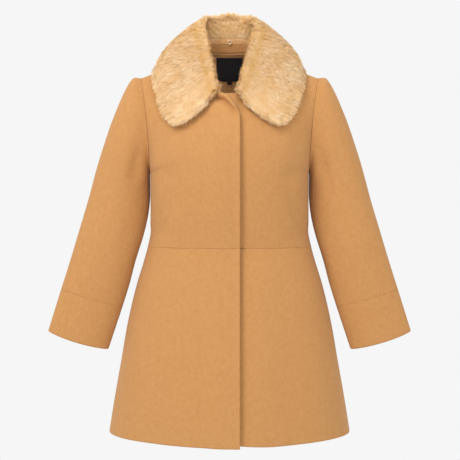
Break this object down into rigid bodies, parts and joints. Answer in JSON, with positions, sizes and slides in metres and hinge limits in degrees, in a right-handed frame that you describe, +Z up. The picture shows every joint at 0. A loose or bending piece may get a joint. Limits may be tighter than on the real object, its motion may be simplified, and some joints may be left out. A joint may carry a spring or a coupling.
{
  "type": "long coat",
  "caption": "Long A-line coat of thick camel cloth with a big fur collar, concealed front fastening, waist seam and cuffs, filled out as worn with no wearer.",
  "frame": {"origin": "between the two neck points at shoulder height, where the wearer's shoulders carry the coat", "axes": "+Z up, -Y towards the front of the coat, +X towards the wearer's left"},
  "size_m": [0.8144, 0.3452, 0.9582],
  "materials": {
    "coat_cloth": "napped camel wool cloth",
    "facing_cloth": "the same cloth, shaded inside the neck",
    "fur": "dense soft pale gold fur",
    "label_ribbon": "black woven ribbon, bare",
    "horn": "pale horn-coloured button"
  },
  "bodies": {
    "root": {"back_bodice": "coat_cloth", "back_neck_facing": "facing_cloth", "back_skirt": "coat_cloth", "collar_band": "facing_cloth", "collar_button": "horn", "cuff_top_left": "coat_cloth", "cuff_top_right": "coat_cloth", "cuff_under_left": "coat_cloth", "cuff_under_right": "coat_cloth", "front_bodice_left": "coat_cloth", "front_bodice_right": "coat_cloth", "front_skirt_left": "coat_cloth", "front_skirt_right": "coat_cloth", "fur_collar": "fur", "neck_label": "label_ribbon", "neckband": "coat_cloth", "size_tab": "label_ribbon", "sleeve_top_left": "coat_cloth", "sleeve_top_right": "coat_cloth", "sleeve_under_left": "coat_cloth", "sleeve_under_right": "coat_cloth"}
  },
  "joints": []
}
